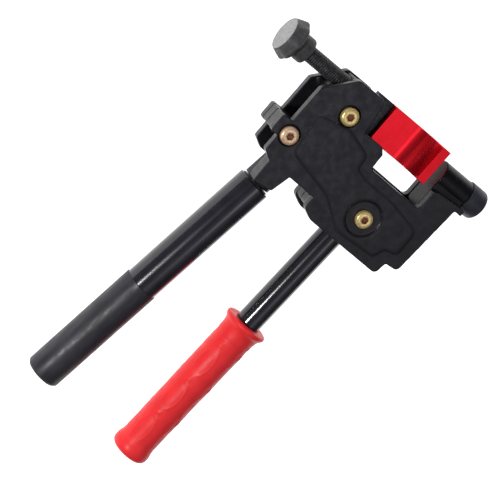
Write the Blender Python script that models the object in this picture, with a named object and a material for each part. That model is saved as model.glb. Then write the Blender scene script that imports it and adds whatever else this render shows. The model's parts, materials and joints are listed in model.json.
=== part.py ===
"""Hand seamer for standing seams on sheet-metal roofs.

The tool lies on its rear housing.  X runs along the adjusting screw, from the
knob to the anvil, the two handles point to -Y, and +Z is the normal of the
flat housings.  Every outline below is written in millimetres in tool
coordinates, whose origin is in the mid plane between the two housings.  The
empty "tool_datum" carries those coordinates to the world, where the origin is
the middle of the footprint.
"""
import math

import bmesh
import bpy
from mathutils import Matrix, Vector

MM = 0.001

# Place of the tool coordinates in the world, in millimetres
DATUM = (-12.15, 103.82, 17.5)

# Housings: outer faces at +-HALF_THICK, inner faces at +-HALF_GAP
HALF_THICK = 17.5
HALF_GAP = 10.0
BASE_FACE = 16.2
PARTING = 0.15
CLEARANCE = 0.3

# Bolt centres: neck bolt, slide bolt, lever pivot bolt
NECK_BOLT = (-45.0, -6.0)
SLIDE_BOLT = (-20.0, 29.4)
PIVOT_BOLT = (40.3, -19.6)
BOLT_D = 8.0
BOLT_HEAD_D = 13.6
BOLT_HEAD_H = 4.2
BOLT_SOCKET_AF = 5.0
COUNTERBORE_D = 15.6
COUNTERBORE_DEPTH = 2.2
SLEEVE_D = 12.0

# Fixed handle: axis starts at the end of the neck barrel
FIXED_START = (-34.2, -47.2)
FIXED_TILT = 8.4
FIXED_LENGTH = 203.3
TUBE_D = 26.2
TUBE_BORE = 22.6
SLEEVE_GRIP_D = 27.4
SLEEVE_GRIP_START = 108.0
BARREL_D = 22.0
SPIGOT_D = 16.0
SPIGOT_TOP = 30.0

# Lever with its red grip
LEVER_TILT = 2.15
LEVER_OFFSET = -1.85
LEVER_TUBE_D = 19.5
LEVER_TUBE_BORE = 15.9
LEVER_TUBE_START = 22.0
GRIP_START = 114.3
GRIP_LENGTH = 132.9
GRIP_D = 28.2
GRIP_FLANGE_D = 34.9
DRIVE_PIN = (2.0, 10.0)
DRIVE_PIN_D = 6.0
ROLLER_D = 11.4
FORK_GAP = 4.4

# Adjusting screw, carriage and die
SCREW_Y = 44.0
SCREW_D = 12.0
SCREW_TAIL_X = -76.0
JOURNAL_START_X = -13.5
JOURNAL_END_X = -6.0
KNOB_FACE_X = -89.0
KNOB_D = 30.8
KNOB_FACE_D = 25.4
KNOB_HUB_D = 19.2
DIE_Y0 = 25.8
DIE_Y1 = 54.8
DIE_X0 = 10.6
DIE_X1 = 58.0
DIE_WALL = 7.6
DIE_FILLET = 17.0
DIE_BASE_TOP = 0.0
DIE_WALL_TOP = 16.6
HOLDER_STEP = -4.0
SHELF_TOP = -9.3
DIE_BOTTOM = -9.0

# Anvil on the arm
ANVIL_Y = 37.5
ANVIL_D = 21.5
ANVIL_X0 = 69.4
ANVIL_X1 = 97.2
CAP_D = 23.4
CAP_X0 = 97.8
CAP_X1 = 113.3
ANVIL_SCREWS = (("inner", 75.0), ("outer", 85.0))
ANVIL_SCREW_Y = 16.0
DIE_SCREWS = (("inner", 20.0), ("outer", 44.0))
DIE_SCREW_Y = 40.0

ROUND = 40


# ---------------------------------------------------------------- helpers

def clear_scene():
    """Remove every object the file starts with."""
    for item in list(bpy.data.objects):
        bpy.data.objects.remove(item, do_unlink=True)


def make_material(name, color, roughness, metallic):
    """One Principled BSDF material."""
    material = bpy.data.materials.new(name)
    material.use_nodes = True
    shader = material.node_tree.nodes["Principled BSDF"]
    shader.inputs["Base Color"].default_value = (*color, 1.0)
    shader.inputs["Roughness"].default_value = roughness
    shader.inputs["Metallic"].default_value = metallic
    return material


def corner_arc(before, corner, after, radius):
    """Points that round one corner of an outline."""
    c = Vector(corner)
    a = (Vector(before) - c).normalized()
    b = (Vector(after) - c).normalized()
    half = a.angle(b) / 2.0
    reach = radius / math.tan(half)
    middle = c + (a + b).normalized() * (radius / math.sin(half))
    start = c + a * reach - middle
    end = c + b * reach - middle
    turn = start.angle_signed(end)
    steps = max(2, int(abs(turn) / math.radians(15)))
    points = []
    for i in range(steps + 1):
        spin = Matrix.Rotation(-turn * i / steps, 2)
        points.append(tuple(middle + spin @ start))
    return points


def rounded(corners):
    """Outline from (x, y, radius) corners."""
    points = []
    count = len(corners)
    for i, (x, y, radius) in enumerate(corners):
        if radius <= 0:
            points.append((x, y))
            continue
        before = corners[i - 1][:2]
        after = corners[(i + 1) % count][:2]
        points.extend(corner_arc(before, (x, y), after, radius))
    return points


def ellipse(cx, cy, rx, ry, count=ROUND):
    """Closed oval outline."""
    points = []
    for i in range(count):
        angle = 2 * math.pi * i / count
        points.append((cx + rx * math.cos(angle), cy + ry * math.sin(angle)))
    return points


def circle(center, diameter, count=ROUND):
    """Closed round outline."""
    return ellipse(center[0], center[1], diameter / 2, diameter / 2, count)


def hexagon(center, across_flats):
    """Hexagon outline of a socket or a nut."""
    radius = across_flats / math.sqrt(3)
    return ellipse(center[0], center[1], radius, radius, 6)


def finish_mesh(name, bm, material, parent, origin=(0, 0, 0), smooth=40):
    """Write a mesh in millimetres to a named object whose origin is at origin."""
    bmesh.ops.recalc_face_normals(bm, faces=bm.faces)
    bmesh.ops.translate(bm, verts=bm.verts, vec=-Vector(origin))
    bmesh.ops.scale(bm, verts=bm.verts, vec=(MM, MM, MM))
    mesh = bpy.data.meshes.new(name)
    bm.to_mesh(mesh)
    bm.free()
    mesh.shade_smooth()
    mesh.set_sharp_from_angle(angle=math.radians(smooth))
    item = bpy.data.objects.new(name, mesh)
    item.location = Vector(origin) * MM
    item.parent = parent
    if material is not None:
        mesh.materials.append(material)
    bpy.context.scene.collection.objects.link(item)
    return item


def prism_mesh(points, low, high):
    """Outline in XY, extruded from low to high along Z."""
    bm = bmesh.new()
    verts = [bm.verts.new((x, y, low)) for x, y in points]
    face = bm.faces.new(verts)
    grown = bmesh.ops.extrude_face_region(bm, geom=[face])
    moved = [v for v in grown["geom"] if isinstance(v, bmesh.types.BMVert)]
    bmesh.ops.translate(bm, verts=moved, vec=(0, 0, high - low))
    return bm


def frame_from(point, direction):
    """Matrix that takes +Z to direction, at point."""
    turn = Vector((0, 0, 1)).rotation_difference(Vector(direction).normalized())
    return Matrix.Translation(Vector(point)) @ turn.to_matrix().to_4x4()


def turned_mesh(profile, place, count=ROUND):
    """Turn a closed (radius, height) profile round the Z axis of place."""
    bm = bmesh.new()
    rings = []
    for radius, height in profile:
        if radius == 0:
            rings.append([bm.verts.new((0, 0, height))])
            continue
        ring = []
        for i in range(count):
            angle = 2 * math.pi * i / count
            ring.append(bm.verts.new((radius * math.cos(angle), radius * math.sin(angle), height)))
        rings.append(ring)
    for k in range(len(rings)):
        first = rings[k]
        second = rings[(k + 1) % len(rings)]
        if len(first) == 1 and len(second) == 1:
            continue
        for i in range(count):
            j = (i + 1) % count
            quad = [first[i % len(first)], first[j % len(first)], second[j % len(second)], second[i % len(second)]]
            face = list(dict.fromkeys(quad))
            if len(face) > 2:
                bm.faces.new(face)
    bmesh.ops.transform(bm, matrix=place, verts=bm.verts)
    return bm


def combine(item, cutter, operation):
    """Boolean modifier with a hidden tool object."""
    cutter.hide_render = True
    cutter.display_type = "WIRE"
    cutter.hide_set(True)
    step = item.modifiers.new(cutter.name, "BOOLEAN")
    step.operation = operation
    step.object = cutter
    step.solver = "EXACT"


def cut(item, name, bm):
    """Cut a millimetre mesh out of item."""
    combine(item, finish_mesh(name, bm, None, item.parent), "DIFFERENCE")


def add(item, name, bm):
    """Unite a millimetre mesh with item."""
    combine(item, finish_mesh(name, bm, None, item.parent), "UNION")


# ---------------------------------------------------------------- outlines

def housing_outline():
    """Side view of both housings, clockwise from the lug on the left."""
    return rounded([
        (-58.2, -10.8, 2.0),
        (-58.2, 3.2, 2.0),
        (-50.0, 3.2, 0),
        (-49.6, 32.2, 1.5),
        (-31.0, 52.8, 4.0),
        (-6.0, 53.0, 5.0),
        (-3.0, 27.6, 1.0),
        (14.6, 27.6, 0.8),
        (18.7, 23.4, 1.5),
        (19.0, 11.2, 2.5),
        (69.0, 9.9, 3.5),
        (69.0, 25.6, 1.2),
        (72.8, 27.8, 2.0),
        (99.4, 29.6, 1.6),
        (98.6, 24.8, 0.8),
        (92.4, 25.2, 1.5),
        (89.7, -34.6, 4.0),
        (78.4, -35.2, 1.5),
        (77.2, -45.8, 4.0),
        (9.0, -43.2, 9.0),
        (-0.6, -38.6, 4.0),
        (-0.6, -29.4, 0),
        (-44.2, -27.6, 1.0),
        (-51.8, -23.4, 1.5),
        (-51.8, -10.8, 0),
    ])


def web_outline():
    """Raised central panel over the slide and the lever."""
    return rounded([
        (-34.0, -13.0, 4.0),
        (6.0, -22.0, 4.0),
        (30.0, -37.5, 3.0),
        (66.0, -36.5, 3.0),
        (69.5, -27.5, 2.5),
        (80.0, -25.0, 4.0),
        (79.4, -4.0, 6.0),
        (50.0, 1.5, 3.0),
        (20.5, 2.4, 4.0),
        (10.6, 5.4, 3.0),
        (9.4, 16.2, 4.0),
        (-13.5, 22.4, 4.0),
        (-38.0, 17.0, 4.0),
    ])


def neck_outline():
    """Flat web that carries the front panel's face down over the neck."""
    return rounded([
        (-44.2, -18.0, 0),
        (-24.0, -18.0, 0),
        (-24.4, -29.0, 0),
        (-28.2, -43.4, 1.2),
        (-43.9, -45.6, 1.2),
    ])


def fixed_axis():
    """Direction of the fixed handle, from the neck to its free end."""
    tilt = math.radians(FIXED_TILT)
    return Vector((-math.sin(tilt), -math.cos(tilt), 0))


def lever_axis():
    """Direction of the lever handle, from the pivot to its free end."""
    tilt = math.radians(LEVER_TILT)
    return Vector((-math.sin(tilt), -math.cos(tilt), 0))


def on_fixed(distance):
    """Frame on the fixed handle's axis, distance past the neck."""
    axis = fixed_axis()
    start = Vector((FIXED_START[0], FIXED_START[1], 0))
    return frame_from(start + axis * distance, axis)


def on_lever(distance):
    """Frame on the lever handle's axis, distance past the pivot."""
    axis = lever_axis()
    start = Vector((PIVOT_BOLT[0] + LEVER_OFFSET, PIVOT_BOLT[1], 0))
    return frame_from(start + axis * distance, axis)


def along_x(x, y, z=0.0):
    """Frame whose Z axis points to +X."""
    return frame_from((x, y, z), (1, 0, 0))


def tube_profile(outer, inner, start, end):
    """Closed profile of a plain tube."""
    return [(outer / 2, start), (outer / 2, end), (inner / 2, end), (inner / 2, start)]


def rod_profile(diameter, start, end):
    """Closed profile of a plain round bar."""
    return [(0, start), (diameter / 2, start), (diameter / 2, end), (0, end)]


# ---------------------------------------------------------------- housings

def housing_half(name, side, material, datum):
    """One half of the cast body: plate, raised panel, half bosses, half barrel."""
    inner = side * HALF_GAP
    base = side * BASE_FACE
    face = side * HALF_THICK
    split = side * PARTING
    bm = prism_mesh(housing_outline(), min(inner, base), max(inner, base))
    half = finish_mesh(name, bm, material, datum)

    low, high = sorted((side * 13.0, face))
    add(half, name + "_panel", prism_mesh(web_outline(), low, high))

    low, high = sorted((split, side * 12.0))
    lug = rounded([(-57.8, -10.4, 1.8), (-57.8, 2.8, 1.8), (-38.0, 2.8, 3), (-36.0, -10.4, 3)])
    add(half, name + "_lug", prism_mesh(lug, low, high))
    step = rounded([(-0.4, -37.2, 3), (-0.4, -30.0, 0), (8.0, -30.0, 2), (8.0, -39.6, 2)])
    add(half, name + "_step", prism_mesh(step, low, high))

    barrel = turned_mesh(rod_profile(BARREL_D, -34.0, -0.6), on_fixed(0))
    add(half, name + "_barrel", barrel)
    if side > 0:
        add(half, name + "_neck", prism_mesh(neck_outline(), 4.0, BASE_FACE))
    low, high = sorted((split, -side * 30.0))
    cut(half, name + "_parting", prism_mesh([(-90, -80), (10, -80), (10, 60), (-90, 60)], low, high))
    cut(half, name + "_bore", turned_mesh(rod_profile(SPIGOT_D + 0.4, -60.0, 5.0), on_fixed(-SPIGOT_TOP + 60.0)))

    low, high = sorted((side * 0.05, side * 25.0))
    for key, center in (("neck", NECK_BOLT), ("slide", SLIDE_BOLT), ("pivot", PIVOT_BOLT)):
        hole = prism_mesh(circle(center, BOLT_D + 0.6, 24), low, high)
        cut(half, name + "_hole_" + key, hole)
    deep = HALF_THICK - COUNTERBORE_DEPTH
    if side > 0:
        for key, center in (("neck", NECK_BOLT), ("slide", SLIDE_BOLT)):
            seat = prism_mesh(circle(center, COUNTERBORE_D), deep - 0.6, 25.0)
            cut(half, name + "_seat_" + key, seat)
    pocket_low, pocket_high = sorted((side * deep, side * 25.0))
    cut(half, name + "_pocket", prism_mesh(circle(PIVOT_BOLT, 27.0, 48), pocket_low, pocket_high))

    groove_low, groove_high = sorted((side * 9.0, side * 12.2))
    groove = prism_mesh([(-60, 38.6), (20, 38.6), (20, 49.4), (-60, 49.4)], groove_low, groove_high)
    cut(half, name + "_groove", groove)
    return half


# ---------------------------------------------------------------- fasteners

def button_bolt(name, center, head_base, material, datum):
    """Button-head bolt with a hexagon socket, tapped into the rear housing."""
    top = head_base + BOLT_HEAD_H
    bottom = -HALF_THICK + 0.4
    profile = [
        (0, bottom),
        (BOLT_D / 2 - 0.6, bottom),
        (BOLT_D / 2, bottom + 0.8),
        (BOLT_D / 2, head_base),
        (BOLT_HEAD_D / 2, head_base),
        (BOLT_HEAD_D / 2, head_base + 1.2),
        (BOLT_HEAD_D / 2 - 1.3, top - 1.0),
        (BOLT_HEAD_D / 2 - 3.4, top),
        (0, top),
    ]
    place = Matrix.Translation((center[0], center[1], 0))
    bolt = finish_mesh(name, turned_mesh(profile, place, 32), material, datum, (*center, 0))
    socket = prism_mesh(hexagon(center, BOLT_SOCKET_AF), top - 2.4, top + 2.0)
    cut(bolt, name + "_socket", socket)
    return bolt


def spacer_sleeve(name, center, material, datum):
    """Steel sleeve that keeps the housings apart round a bolt."""
    reach = HALF_GAP - CLEARANCE / 2
    profile = tube_profile(SLEEVE_D, BOLT_D + 0.6, -reach, reach)
    place = Matrix.Translation((center[0], center[1], 0))
    return finish_mesh(name, turned_mesh(profile, place, 32), material, datum, (*center, 0))


# ---------------------------------------------------------------- handles

def fixed_handle(materials, datum):
    """Stepped spigot in the barrel, tube, thin sleeve grip and end plug."""
    origin = (*FIXED_START, 0)
    step = TUBE_BORE / 2 - CLEARANCE / 2
    spigot = [
        (0, -SPIGOT_TOP + 0.5),
        (SPIGOT_D / 2 - 0.1, -SPIGOT_TOP + 0.5),
        (SPIGOT_D / 2 - 0.1, 0.4),
        (step, 0.4),
        (step, 44.0),
        (step - 1.5, 45.5),
        (0, 45.5),
    ]
    place = on_fixed(0)
    finish_mesh("handle_spigot", turned_mesh(spigot, place), materials["steel"], datum, origin)
    tube = tube_profile(TUBE_D, TUBE_BORE, 0.2, FIXED_LENGTH - 1.0)
    finish_mesh("fixed_handle_tube", turned_mesh(tube, place), materials["black_gloss"], datum, origin)
    sleeve = [
        (SLEEVE_GRIP_D / 2 - 0.3, SLEEVE_GRIP_START),
        (SLEEVE_GRIP_D / 2, SLEEVE_GRIP_START + 0.6),
        (SLEEVE_GRIP_D / 2, FIXED_LENGTH - 0.8),
        (SLEEVE_GRIP_D / 2 - 0.4, FIXED_LENGTH),
        (TUBE_D / 2 + 0.2, FIXED_LENGTH),
        (TUBE_D / 2 + 0.2, SLEEVE_GRIP_START),
    ]
    finish_mesh("fixed_handle_sleeve", turned_mesh(sleeve, place), materials["black_matte"], datum, origin)
    inside = TUBE_BORE / 2 - CLEARANCE / 2
    plug = [
        (0, FIXED_LENGTH - 14.0),
        (inside, FIXED_LENGTH - 14.0),
        (inside, FIXED_LENGTH - 0.6),
        (TUBE_D / 2 - 0.2, FIXED_LENGTH - 0.6),
        (TUBE_D / 2 - 0.9, FIXED_LENGTH + 1.6),
        (0, FIXED_LENGTH + 1.8),
    ]
    finish_mesh("fixed_handle_plug", turned_mesh(plug, place), materials["black_matte"], datum, origin)


def grip_profile():
    """Red rubber grip: big flange at the top, waist, small flange at the closed end."""
    body = GRIP_D / 2
    flange = GRIP_FLANGE_D / 2
    start = GRIP_START
    end = GRIP_START + GRIP_LENGTH
    bore = LEVER_TUBE_D / 2 + 0.25
    bore_end = end - 5.0
    return [
        (bore, start),
        (flange - 0.8, start),
        (flange, start + 1.0),
        (flange, start + 2.2),
        (flange - 1.7, start + 4.2),
        (flange - 3.1, start + 7.5),
        (body, start + 12.0),
        (body - 0.35, start + 60.0),
        (body - 0.2, end - 14.0),
        (14.5, end - 9.0),
        (15.2, end - 6.0),
        (15.2, end - 3.2),
        (14.0, end - 0.8),
        (11.0, end),
        (0, end),
        (0, bore_end),
        (bore, bore_end),
    ]


def lever_parts(materials, datum):
    """Forked bell crank on the pivot, its tube, grip and drive pin."""
    origin = (*PIVOT_BOLT, 0)
    px, py = PIVOT_BOLT
    reach = HALF_GAP - CLEARANCE
    crank = rounded([
        (px - 10.5, py - 9.0, 3),
        (px - 8.6, py - 20.5, 1),
        (px + 7.4, py - 20.9, 1),
        (px + 11.5, py - 6.0, 4),
        (px + 10.0, py + 11.0, 6),
        (px - 12.0, py + 22.0, 5),
        (DRIVE_PIN[0] + 7.0, DRIVE_PIN[1] + 6.0, 4),
        (DRIVE_PIN[0] - 6.5, DRIVE_PIN[1] + 6.0, 4),
        (DRIVE_PIN[0] - 6.5, DRIVE_PIN[1] - 7.0, 4),
    ])
    lever = finish_mesh("lever_crank", prism_mesh(crank, -reach, reach), materials["black_gloss"], datum, origin)
    spigot = turned_mesh(rod_profile(LEVER_TUBE_BORE - 0.4, 14.0, 58.0), on_lever(0))
    add(lever, "lever_crank_spigot", spigot)
    cut(lever, "lever_crank_bore", prism_mesh(circle(PIVOT_BOLT, SLEEVE_D + 0.5, 32), -20, 20))
    cut(lever, "lever_crank_pin_hole", prism_mesh(circle(DRIVE_PIN, DRIVE_PIN_D + 0.3, 24), -20, 20))
    fork = rounded([(-30, -12, 0), (19.0, -12.0, 3), (23.0, 4.0, 3), (23.0, 40, 0), (-30, 40, 0)])
    cut(lever, "lever_crank_fork", prism_mesh(fork, -FORK_GAP - 0.3, FORK_GAP + 0.3))
    spring_room = prism_mesh(circle(PIVOT_BOLT, 20.6, 32), -4.4, 4.4)
    cut(lever, "lever_crank_spring_room", spring_room)
    leg_room = prism_mesh([(px - 11, py), (px + 4, py), (px + 4, py - 13), (px - 11, py - 13)], -4.4, 4.4)
    cut(lever, "lever_crank_leg_room", leg_room)

    pin_reach = reach - 0.1
    pin = turned_mesh(rod_profile(DRIVE_PIN_D, -pin_reach, pin_reach), Matrix.Translation((*DRIVE_PIN, 0)), 24)
    finish_mesh("drive_pin", pin, materials["steel"], datum, (*DRIVE_PIN, 0))

    tube = tube_profile(LEVER_TUBE_D, LEVER_TUBE_BORE, LEVER_TUBE_START, GRIP_START + GRIP_LENGTH - 6.0)
    finish_mesh("lever_handle_tube", turned_mesh(tube, on_lever(0), 36), materials["black_gloss"], datum, origin)
    grip = turned_mesh(grip_profile(), on_lever(0))
    finish_mesh("red_handle_grip", grip, materials["red_rubber"], datum, origin)


def drive_roller(materials, datum):
    """Roller on the drive pin, inside the carriage's slot."""
    place = Matrix.Translation((*DRIVE_PIN, 0))
    profile = tube_profile(ROLLER_D, DRIVE_PIN_D + 0.5, -FORK_GAP + 0.5, FORK_GAP - 0.5)
    finish_mesh("drive_roller", turned_mesh(profile, place, 32), materials["steel"], datum, (*DRIVE_PIN, 0))


def return_spring(materials, datum):
    """Torsion spring round the pivot sleeve, as one flat-sided coil."""
    turns = 3
    wire = 0.9
    radius = SLEEVE_D / 2 + 0.35 + wire
    pitch = 2.1
    per_turn = 20
    curve = bpy.data.curves.new("return_spring", "CURVE")
    curve.dimensions = "3D"
    curve.bevel_depth = wire * MM
    curve.bevel_resolution = 1
    curve.use_fill_caps = True
    spline = curve.splines.new("POLY")
    points = []
    for i in range(turns * per_turn + 1):
        angle = math.radians(180) + 2 * math.pi * i / per_turn
        rise = (i / per_turn - turns / 2) * pitch
        points.append((radius * math.cos(angle), radius * math.sin(angle), rise))
    points.append((-radius, -10.0, turns * pitch / 2))
    spline.points.add(len(points) - 1)
    for point, place in zip(spline.points, points):
        point.co = (place[0] * MM, place[1] * MM, place[2] * MM, 1.0)
    item = bpy.data.objects.new("return_spring", curve)
    item.location = (PIVOT_BOLT[0] * MM, PIVOT_BOLT[1] * MM, 0)
    item.parent = datum
    curve.materials.append(materials["steel"])
    bpy.context.scene.collection.objects.link(item)


# ---------------------------------------------------------------- slide and die

def carriage(materials, datum):
    """Slide between the housings: slot on the slide sleeve, leg with the drive slot."""
    origin = (-24.0, SCREW_Y, 0)
    reach = HALF_GAP - CLEARANCE
    outline = rounded([
        (-40.5, 21.0, 2),
        (-40.5, 36.2, 2),
        (-30.6, 47.0, 2),
        (-30.6, 51.6, 1),
        (-16.6, 51.6, 1),
        (-16.6, 37.0, 0),
        (-8.2, 37.0, 1),
        (-8.2, 24.9, 0),
        (11.8, 24.9, 1),
        (11.8, -0.8, 2),
        (-8.0, -0.8, 3),
        (-14.0, 21.0, 0),
    ])
    slide = finish_mesh("die_carriage", prism_mesh(outline, -reach, reach), materials["steel_dark"], datum, origin)
    travel = 7.0
    sx, sy = SLIDE_BOLT
    half = SLEEVE_D / 2 + 0.3
    slot = rounded([
        (sx - travel - half, sy - half, half - 0.05),
        (sx + half + 1.0, sy - half, half - 0.05),
        (sx + half + 1.0, sy + half, half - 0.05),
        (sx - travel - half, sy + half, half - 0.05),
    ])
    cut(slide, "die_carriage_guide_slot", prism_mesh(slot, -20, 20))
    dx, dy = DRIVE_PIN
    wide = ROLLER_D / 2 + 0.35
    drive = rounded([
        (dx - wide, dy - wide - 0.6, 3),
        (dx + wide, dy - wide - 0.6, 3),
        (dx + wide, 40, 0),
        (dx - wide, 40, 0),
    ])
    cut(slide, "die_carriage_drive_slot", prism_mesh(drive, -20, 20))
    thin = [(-20.0, -4.0), (16.0, -4.0), (16.0, 30.0), (-6.2, 30.0), (-7.5, 20.5), (-20.0, 20.5)]
    cut(slide, "die_carriage_thin_front", prism_mesh(thin, FORK_GAP, 20))
    cut(slide, "die_carriage_thin_rear", prism_mesh(thin, -20, -FORK_GAP))
    for key, side in (("front", 1), ("rear", -1)):
        low, high = sorted((side * 9.0, side * 11.8))
        key_bar = [(-30.0, 39.0), (-17.0, 39.0), (-17.0, 49.0), (-30.0, 49.0)]
        add(slide, "die_carriage_key_" + key, prism_mesh(key_bar, low, high))
    cut(slide, "die_carriage_thread", turned_mesh(rod_profile(SCREW_D + 0.6, -50, 0), along_x(-10, SCREW_Y), 36))


def die_holder(materials, datum):
    """Holder that the screw tip turns in, with the shelf under the die."""
    origin = (-4.0, SCREW_Y, 0)
    block = prism_mesh([(-13.2, 38.6), (-3.0, 38.6), (-3.0, 51.0), (-13.2, 51.0)], -9.6, 9.6)
    holder = finish_mesh("die_holder", block, materials["steel_dark"], datum, origin)
    neck = rounded([(-4.6, 26.2, 1), (DIE_X0 - 0.3, 26.2, 1), (DIE_X0 - 0.3, 54.6, 1), (-4.6, 54.6, 0)])
    add(holder, "die_holder_neck", prism_mesh(neck, -9.6, HOLDER_STEP))
    shelf = rounded([(1.5, 28.4, 1), (DIE_X1 - 3.0, 28.4, 2), (DIE_X1 - 3.0, 53.4, 2), (1.5, 53.4, 1)])
    add(holder, "die_holder_shelf", prism_mesh(shelf, -16.8, SHELF_TOP))
    cut(holder, "die_holder_bore", turned_mesh(rod_profile(10.6, -20, JOURNAL_END_X + 0.4), along_x(0, SCREW_Y), 36))
    pin_hole = prism_mesh(circle((-9.6, SCREW_Y + 4.6), 2.9, 16), -20, 20)
    cut(holder, "die_holder_pin_hole", pin_hole)
    for key, x in DIE_SCREWS:
        hole = prism_mesh(circle((x, DIE_SCREW_Y), 5.6, 20), -20, -5)
        cut(holder, "die_holder_hole_" + key, hole)
        seat = prism_mesh(circle((x, DIE_SCREW_Y), 9.6, 24), -20, -12.4)
        cut(holder, "die_holder_seat_" + key, seat)
    pin = turned_mesh(rod_profile(2.4, -9.2, 9.2), Matrix.Translation((-9.6, SCREW_Y + 4.6, 0)), 16)
    finish_mesh("swivel_pin", pin, materials["steel"], datum, origin)


def forming_die(materials, datum):
    """Red anodised channel: flat base, big inside radius, upright wall."""
    x_fillet = DIE_X1 - DIE_WALL
    center_x = x_fillet - DIE_FILLET
    center_z = DIE_BASE_TOP + DIE_FILLET
    top = DIE_WALL_TOP
    bevel = 0.7
    points = [(DIE_X0, DIE_BOTTOM + bevel), (DIE_X0, DIE_BASE_TOP - bevel), (DIE_X0 + bevel, DIE_BASE_TOP)]
    steps = 14
    last = math.acos((center_z - top) / DIE_FILLET)
    for i in range(steps + 1):
        angle = last * i / steps
        x = center_x + DIE_FILLET * math.sin(angle)
        z = center_z - DIE_FILLET * math.cos(angle)
        points.append((x, z))
    points += [
        (DIE_X1 - bevel, top),
        (DIE_X1, top - bevel),
        (DIE_X1, -HALF_THICK + 1.0 + bevel),
        (DIE_X1 - bevel, -HALF_THICK + 1.0),
        (DIE_X1 - 2.7, -HALF_THICK + 1.0),
        (DIE_X1 - 2.7, DIE_BOTTOM),
        (DIE_X0 + bevel, DIE_BOTTOM),
    ]
    bm = prism_mesh(points, 0, DIE_Y1 - DIE_Y0)
    place = Matrix.Translation((0, DIE_Y1, 0)) @ Matrix.Rotation(math.radians(90), 4, "X")
    bmesh.ops.transform(bm, matrix=place, verts=bm.verts)
    die = finish_mesh("red_forming_die", bm, materials["red_metal"], datum, (DIE_X0, SCREW_Y, 0))
    for key, x in DIE_SCREWS:
        hole = prism_mesh(circle((x, DIE_SCREW_Y), 5.0, 20), -20, -3.0)
        cut(die, "red_forming_die_hole_" + key, hole)


def die_screws(materials, datum):
    """Two socket screws that hold the die on its shelf, from below."""
    for key, x in DIE_SCREWS:
        profile = [(0, -16.6), (4.4, -16.6), (4.4, -12.8), (2.3, -12.8), (2.3, -3.6), (0, -3.6)]
        screw = turned_mesh(profile, Matrix.Translation((x, DIE_SCREW_Y, 0)), 24)
        finish_mesh("die_screw_" + key, screw, materials["steel"], datum, (x, DIE_SCREW_Y, 0))


def adjusting_screw(materials, datum):
    """Screw with its journal in the die holder, and the round knob."""
    origin = (KNOB_FACE_X, SCREW_Y, 0)
    half = SCREW_D / 2
    profile = [
        (0, SCREW_TAIL_X - 6.0),
        (half - 0.8, SCREW_TAIL_X - 6.0),
        (half - 0.8, SCREW_TAIL_X),
        (half, SCREW_TAIL_X),
        (half, JOURNAL_START_X - 1.5),
        (5.0, JOURNAL_START_X - 0.5),
        (5.0, -11.2),
        (3.1, -11.2),
        (3.1, -8.0),
        (5.0, -8.0),
        (5.0, JOURNAL_END_X - 0.6),
        (4.4, JOURNAL_END_X),
        (0, JOURNAL_END_X),
    ]
    screw = turned_mesh(profile, along_x(0, SCREW_Y), 36)
    finish_mesh("adjusting_screw", screw, materials["steel_rough"], datum, origin)

    rim = KNOB_D / 2
    face = KNOB_FACE_D / 2
    hub = KNOB_HUB_D / 2
    shape = [
        (0, 0),
        (face - 0.8, 0),
        (face, 0.8),
        (rim - 0.5, 7.0),
        (rim, 8.2),
        (rim - 0.4, 9.2),
        (rim - 1.4, 10.0),
        (hub, 10.4),
        (hub, 20.4),
        (hub - 0.6, 21.2),
        (0, 21.2),
    ]
    body = turned_mesh(shape, along_x(KNOB_FACE_X, SCREW_Y))
    knob = finish_mesh("adjusting_knob", body, materials["black_matte"], datum, origin)
    bore_start = SCREW_TAIL_X - 6.6 - KNOB_FACE_X
    bore = turned_mesh(rod_profile(SCREW_D + 0.6, bore_start, 30), along_x(KNOB_FACE_X, SCREW_Y), 36)
    cut(knob, "adjusting_knob_bore", bore)


# ---------------------------------------------------------------- anvil

def anvil_parts(materials, datum):
    """Round-topped anvil clamped in the arm, its end cap and two screws."""
    reach = HALF_GAP - CLEARANCE
    origin = (ANVIL_X0, ANVIL_Y, 0)
    radius = ANVIL_D / 2
    section = [(-reach, 6.0)]
    steps = 28
    lowest = -math.acos(reach / radius)
    for i in range(steps + 1):
        angle = math.pi - lowest - (math.pi - 2 * lowest) * i / steps
        section.append((radius * math.cos(angle), ANVIL_Y + radius * math.sin(angle)))
    section.append((reach, 6.0))
    bm = prism_mesh(section, 0, ANVIL_X1 - ANVIL_X0)
    place = Matrix(((0, 0, 1, ANVIL_X0), (0, 1, 0, 0), (1, 0, 0, 0), (0, 0, 0, 1)))
    bmesh.ops.transform(bm, matrix=place, verts=bm.verts)
    anvil = finish_mesh("anvil_block", bm, materials["black_gloss"], datum, origin)
    cut(anvil, "anvil_block_thread", turned_mesh(rod_profile(8.6, -22, 10), along_x(ANVIL_X1, ANVIL_Y), 28))
    relief = prism_mesh([(90.6, 0), (130, 0), (130, 24.2), (90.6, 24.2)], -20, 20)
    cut(anvil, "anvil_block_relief", relief)
    for key, x in ANVIL_SCREWS:
        hole = prism_mesh(circle((x, ANVIL_SCREW_Y), 5.4, 20), -20, 4)
        cut(anvil, "anvil_block_hole_" + key, hole)

    cap = [
        (0, -18.0),
        (3.9, -18.0),
        (3.9, 0),
        (CAP_D / 2 - 0.9, 0),
        (CAP_D / 2, 1.2),
        (CAP_D / 2, CAP_X1 - CAP_X0 - 2.2),
        (CAP_D / 2 - 2.0, CAP_X1 - CAP_X0),
        (0, CAP_X1 - CAP_X0),
    ]
    item = turned_mesh(cap, along_x(CAP_X0, ANVIL_Y))
    finish_mesh("anvil_end_cap", item, materials["black_gloss"], datum, origin)

    for key, x in ANVIL_SCREWS:
        profile = [(0, -16.9), (4.4, -16.9), (4.4, -13.4), (2.4, -13.4), (2.4, 3.0), (0, 3.0)]
        screw = turned_mesh(profile, Matrix.Translation((x, ANVIL_SCREW_Y, 0)), 24)
        finish_mesh("anvil_screw_" + key, screw, materials["steel"], datum, (x, ANVIL_SCREW_Y, 0))


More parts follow.
